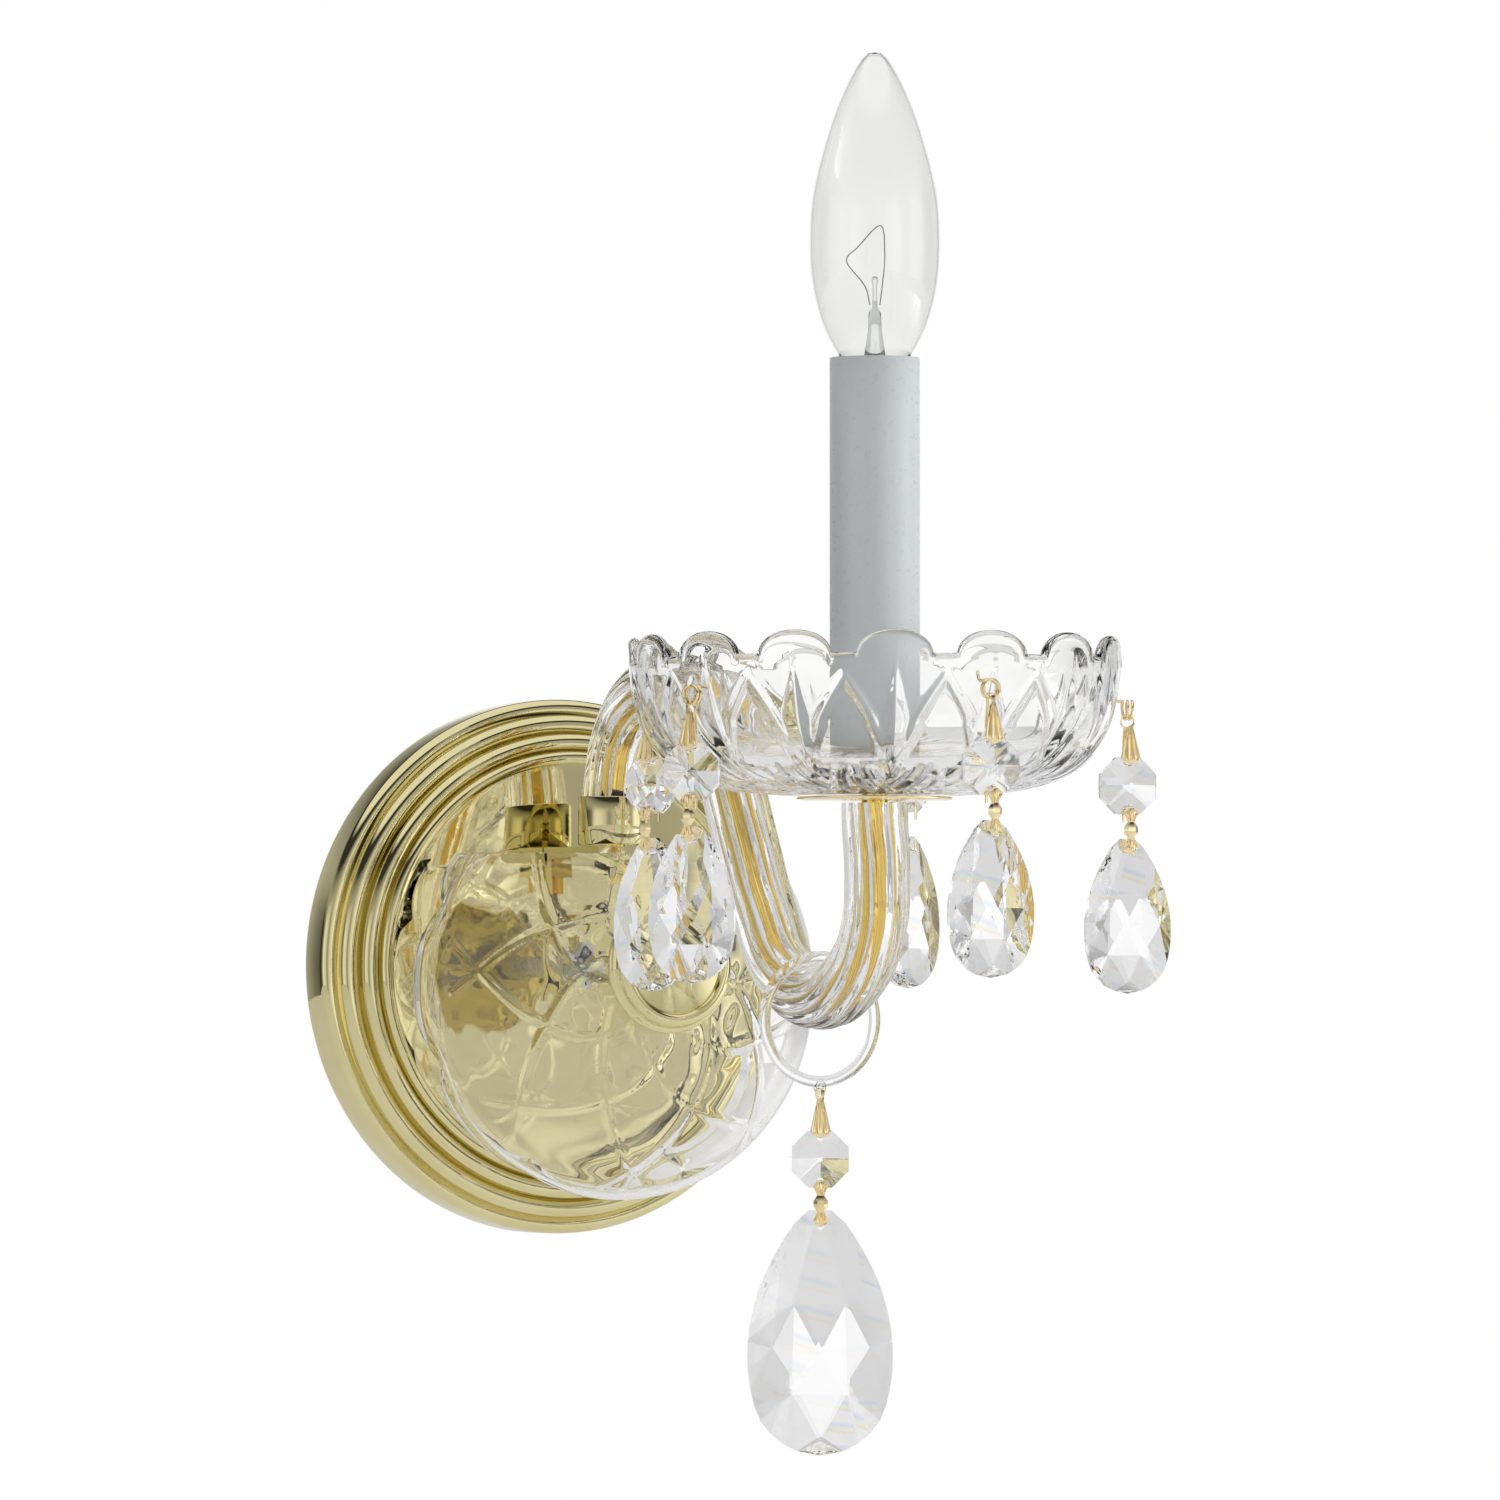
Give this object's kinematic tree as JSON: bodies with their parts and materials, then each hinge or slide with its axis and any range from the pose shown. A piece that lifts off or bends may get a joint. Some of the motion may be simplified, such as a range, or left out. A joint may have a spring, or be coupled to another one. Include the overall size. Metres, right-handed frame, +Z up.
{
  "type": "wall sconce",
  "caption": "Single-light electric candle wall sconce with a brass wall plate, S-curved glass arm, scalloped glass dish, half bowl and hanging crystal drops.",
  "frame": {"origin": "centre of the wall plate, on the wall plane", "axes": "-Y straight out from the wall, +Z up, +X to the right as the wall is faced"},
  "size_m": [0.1378, 0.242, 0.3417],
  "materials": {
    "polished_brass": "polished and lacquered",
    "gilt_wire": "gilt pressed strip and wire",
    "gilt_tube": "bright gilt",
    "drawn_glass": "clear, polished",
    "cut_glass": "clear, pressed and cut",
    "crystal": "clear, faceted and polished",
    "lamp_glass": "clear, thin",
    "lamp_cap": "plain",
    "lamp_filament": "drawn wire",
    "candle_sleeve": "satin off-white",
    "socket_moulding": "moulded",
    "socket_brass": "plain sheet",
    "plated_steel": "zinc plated",
    "washer_rubber": "soft",
    "line_insulation": "extruded",
    "neutral_insulation": "extruded"
  },
  "bodies": {
    "sconce": {"arm_bracket": "polished_brass", "arm_ferrule": "polished_brass", "arm_nut": "polished_brass", "arm_tube": "gilt_tube", "backplate": "polished_brass", "bobeche": "cut_glass", "bowl_nut": "polished_brass", "bowl_washer": "washer_rubber", "candle_sleeve": "candle_sleeve", "centre_rod": "plated_steel", "crossbar": "plated_steel", "dish_nut": "polished_brass", "dish_plate": "polished_brass", "dish_washer": "plated_steel", "glass_arm": "drawn_glass", "half_bowl": "cut_glass", "knob": "polished_brass", "line_wire": "line_insulation", "neutral_wire": "neutral_insulation", "plate_nut": "plated_steel", "rod_lock_nut": "plated_steel", "socket_body": "socket_moulding", "socket_contact": "socket_brass", "socket_riser": "plated_steel", "socket_shell": "socket_brass"},
    "front_ring": {"front_jump_ring": "gilt_wire"},
    "front_hook": {"front_bail": "gilt_wire"},
    "front_bead": {"front_octagon": "crystal"},
    "front_pendant": {"front_bow_tie": "gilt_wire", "front_drop": "crystal"},
    "right_ring": {"right_jump_ring": "gilt_wire"},
    "right_hook": {"right_bail": "gilt_wire"},
    "right_bead": {"right_octagon": "crystal"},
    "right_pendant": {"right_bow_tie": "gilt_wire", "right_drop": "crystal"},
    "left_ring": {"left_jump_ring": "gilt_wire"},
    "left_hook": {"left_bail": "gilt_wire"},
    "left_bead": {"left_octagon": "crystal"},
    "left_pendant": {"left_bow_tie": "gilt_wire", "left_drop": "crystal"},
    "rear_right_ring": {"rear_right_jump_ring": "gilt_wire"},
    "rear_right_hook": {"rear_right_bail": "gilt_wire"},
    "rear_right_bead": {"rear_right_octagon": "crystal"},
    "rear_right_pendant": {"rear_right_bow_tie": "gilt_wire", "rear_right_drop": "crystal"},
    "rear_left_ring": {"rear_left_jump_ring": "gilt_wire"},
    "rear_left_hook": {"rear_left_bail": "gilt_wire"},
    "rear_left_bead": {"rear_left_octagon": "crystal"},
    "rear_left_pendant": {"rear_left_bow_tie": "gilt_wire", "rear_left_drop": "crystal"},
    "arm_ring": {"glass_ring": "drawn_glass"},
    "large_hook": {"large_bail": "gilt_wire"},
    "large_bead": {"large_octagon": "crystal"},
    "large_pendant": {"large_bow_tie": "gilt_wire", "large_drop": "crystal"},
    "lamp_carrier": {"bulb_contact": "lamp_cap"},
    "lamp": {"bulb_glass": "lamp_glass", "bulb_base": "lamp_cap", "bulb_stem": "lamp_glass", "bulb_filament": "lamp_filament"}
  },
  "joints": [
    {"name": "front_ring_swing", "type": "hinge", "parent": "sconce", "child": "front_ring", "pos_m": [-0.00202, -0.23647, 0.0667], "axis": [-0.0332, -0.9995, 0], "range_deg": [-15, 15]},
    {"name": "front_hook_swing", "type": "hinge", "parent": "front_ring", "child": "front_hook", "pos_m": [-0.00202, -0.23647, 0.0623], "axis": [-0.9995, 0.0332, 0], "range_deg": [-5, 15]},
    {"name": "front_bead_swing", "type": "hinge", "parent": "front_hook", "child": "front_bead", "pos_m": [-0.00202, -0.23647, 0.0513], "axis": [0.1392, 0.9903, 0], "range_deg": [-15, 15]},
    {"name": "front_pendant_swing", "type": "hinge", "parent": "front_bead", "child": "front_pendant", "pos_m": [-0.00202, -0.23647, 0.0409], "axis": [-0.1392, -0.9903, 0], "range_deg": [-15, 15]},
    {"name": "right_ring_swing", "type": "hinge", "parent": "sconce", "child": "right_ring", "pos_m": [0.059, -0.19581, 0.0634], "axis": [0.9455, -0.3256, 0], "range_deg": [-15, 15]},
    {"name": "right_hook_swing", "type": "hinge", "parent": "right_ring", "child": "right_hook", "pos_m": [0.059, -0.19581, 0.059], "axis": [-0.3256, -0.9455, 0], "range_deg": [-3, 15]},
    {"name": "right_bead_swing", "type": "hinge", "parent": "right_hook", "child": "right_bead", "pos_m": [0.059, -0.19581, 0.048], "axis": [0.2079, 0.9781, 0], "range_deg": [-15, 15]},
    {"name": "right_pendant_swing", "type": "hinge", "parent": "right_bead", "child": "right_pendant", "pos_m": [0.059, -0.19581, 0.0376], "axis": [-0.2079, -0.9781, 0], "range_deg": [-15, 15]},
    {"name": "left_ring_swing", "type": "hinge", "parent": "sconce", "child": "left_ring", "pos_m": [-0.05938, -0.19264, 0.0655], "axis": [-0.9608, -0.2773, 0], "range_deg": [-15, 15]},
    {"name": "left_hook_swing", "type": "hinge", "parent": "left_ring", "child": "left_hook", "pos_m": [-0.05938, -0.19264, 0.0611], "axis": [-0.2773, 0.9608, 0], "range_deg": [-5, 15]},
    {"name": "left_bead_swing", "type": "hinge", "parent": "left_hook", "child": "left_bead", "pos_m": [-0.05938, -0.19264, 0.0501], "axis": [0.7431, 0.6691, 0], "range_deg": [-15, 15]},
    {"name": "left_pendant_swing", "type": "hinge", "parent": "left_bead", "child": "left_pendant", "pos_m": [-0.05938, -0.19264, 0.0397], "axis": [-0.7431, -0.6691, 0], "range_deg": [-15, 15]},
    {"name": "rear_right_ring_swing", "type": "hinge", "parent": "sconce", "child": "rear_right_ring", "pos_m": [0.0362, -0.1264, 0.065], "axis": [0.5934, 0.8049, 0], "range_deg": [-15, 15]},
    {"name": "rear_right_hook_swing", "type": "hinge", "parent": "rear_right_ring", "child": "rear_right_hook", "pos_m": [0.0362, -0.1264, 0.0606], "axis": [0.8049, -0.5934, 0], "range_deg": [-4, 15]},
    {"name": "rear_right_bead_swing", "type": "hinge", "parent": "rear_right_hook", "child": "rear_right_bead", "pos_m": [0.0362, -0.1264, 0.0496], "axis": [0.309, -0.9511, 0], "range_deg": [-15, 15]},
    {"name": "rear_right_pendant_swing", "type": "hinge", "parent": "rear_right_bead", "child": "rear_right_pendant", "pos_m": [0.0362, -0.1264, 0.0392], "axis": [-0.309, 0.9511, 0], "range_deg": [-15, 15]},
    {"name": "rear_left_ring_swing", "type": "hinge", "parent": "sconce", "child": "rear_left_ring", "pos_m": [-0.03499, -0.12553, 0.064], "axis": [-0.5736, 0.8192, 0], "range_deg": [-15, 15]},
    {"name": "rear_left_hook_swing", "type": "hinge", "parent": "rear_left_ring", "child": "rear_left_hook", "pos_m": [-0.03499, -0.12553, 0.0596], "axis": [0.8192, 0.5736, 0], "range_deg": [-3, 15]},
    {"name": "rear_left_bead_swing", "type": "hinge", "parent": "rear_left_hook", "child": "rear_left_bead", "pos_m": [-0.03499, -0.12553, 0.0486], "axis": [-0.891, -0.454, 0], "range_deg": [-15, 15]},
    {"name": "rear_left_pendant_swing", "type": "hinge", "parent": "rear_left_bead", "child": "rear_left_pendant", "pos_m": [-0.03499, -0.12553, 0.0382], "axis": [0.891, 0.454, 0], "range_deg": [-15, 15]},
    {"name": "arm_ring_swing", "type": "hinge", "parent": "sconce", "child": "arm_ring", "pos_m": [0, -0.1475, -0.0085], "axis": [0, -1, 0], "range_deg": [-15, 15]},
    {"name": "large_hook_swing", "type": "hinge", "parent": "arm_ring", "child": "large_hook", "pos_m": [0, -0.1475, -0.032], "axis": [-1, 0, 0], "range_deg": [-15, 15]},
    {"name": "large_bead_swing", "type": "hinge", "parent": "large_hook", "child": "large_bead", "pos_m": [0, -0.1475, -0.043], "axis": [0.4226, 0.9063, 0], "range_deg": [-15, 15]},
    {"name": "large_pendant_swing", "type": "hinge", "parent": "large_bead", "child": "large_pendant", "pos_m": [0, -0.1475, -0.0534], "axis": [-0.4226, -0.9063, 0], "range_deg": [-15, 15]},
    {"name": "lamp_lift", "type": "slide", "parent": "sconce", "child": "lamp_carrier", "axis": [0, 0, 1], "range_m": [0, 0.00762]},
    {"name": "lamp_turn", "type": "hinge", "parent": "lamp_carrier", "child": "lamp", "pos_m": [0, -0.1755, 0.132], "axis": [0, 0, 1], "range_deg": [0, 1080]}
  ],
  "couplings": [
    {"joint": "lamp_lift", "follows": "lamp_turn", "m_per_rad": 0.00040425}
  ]
}
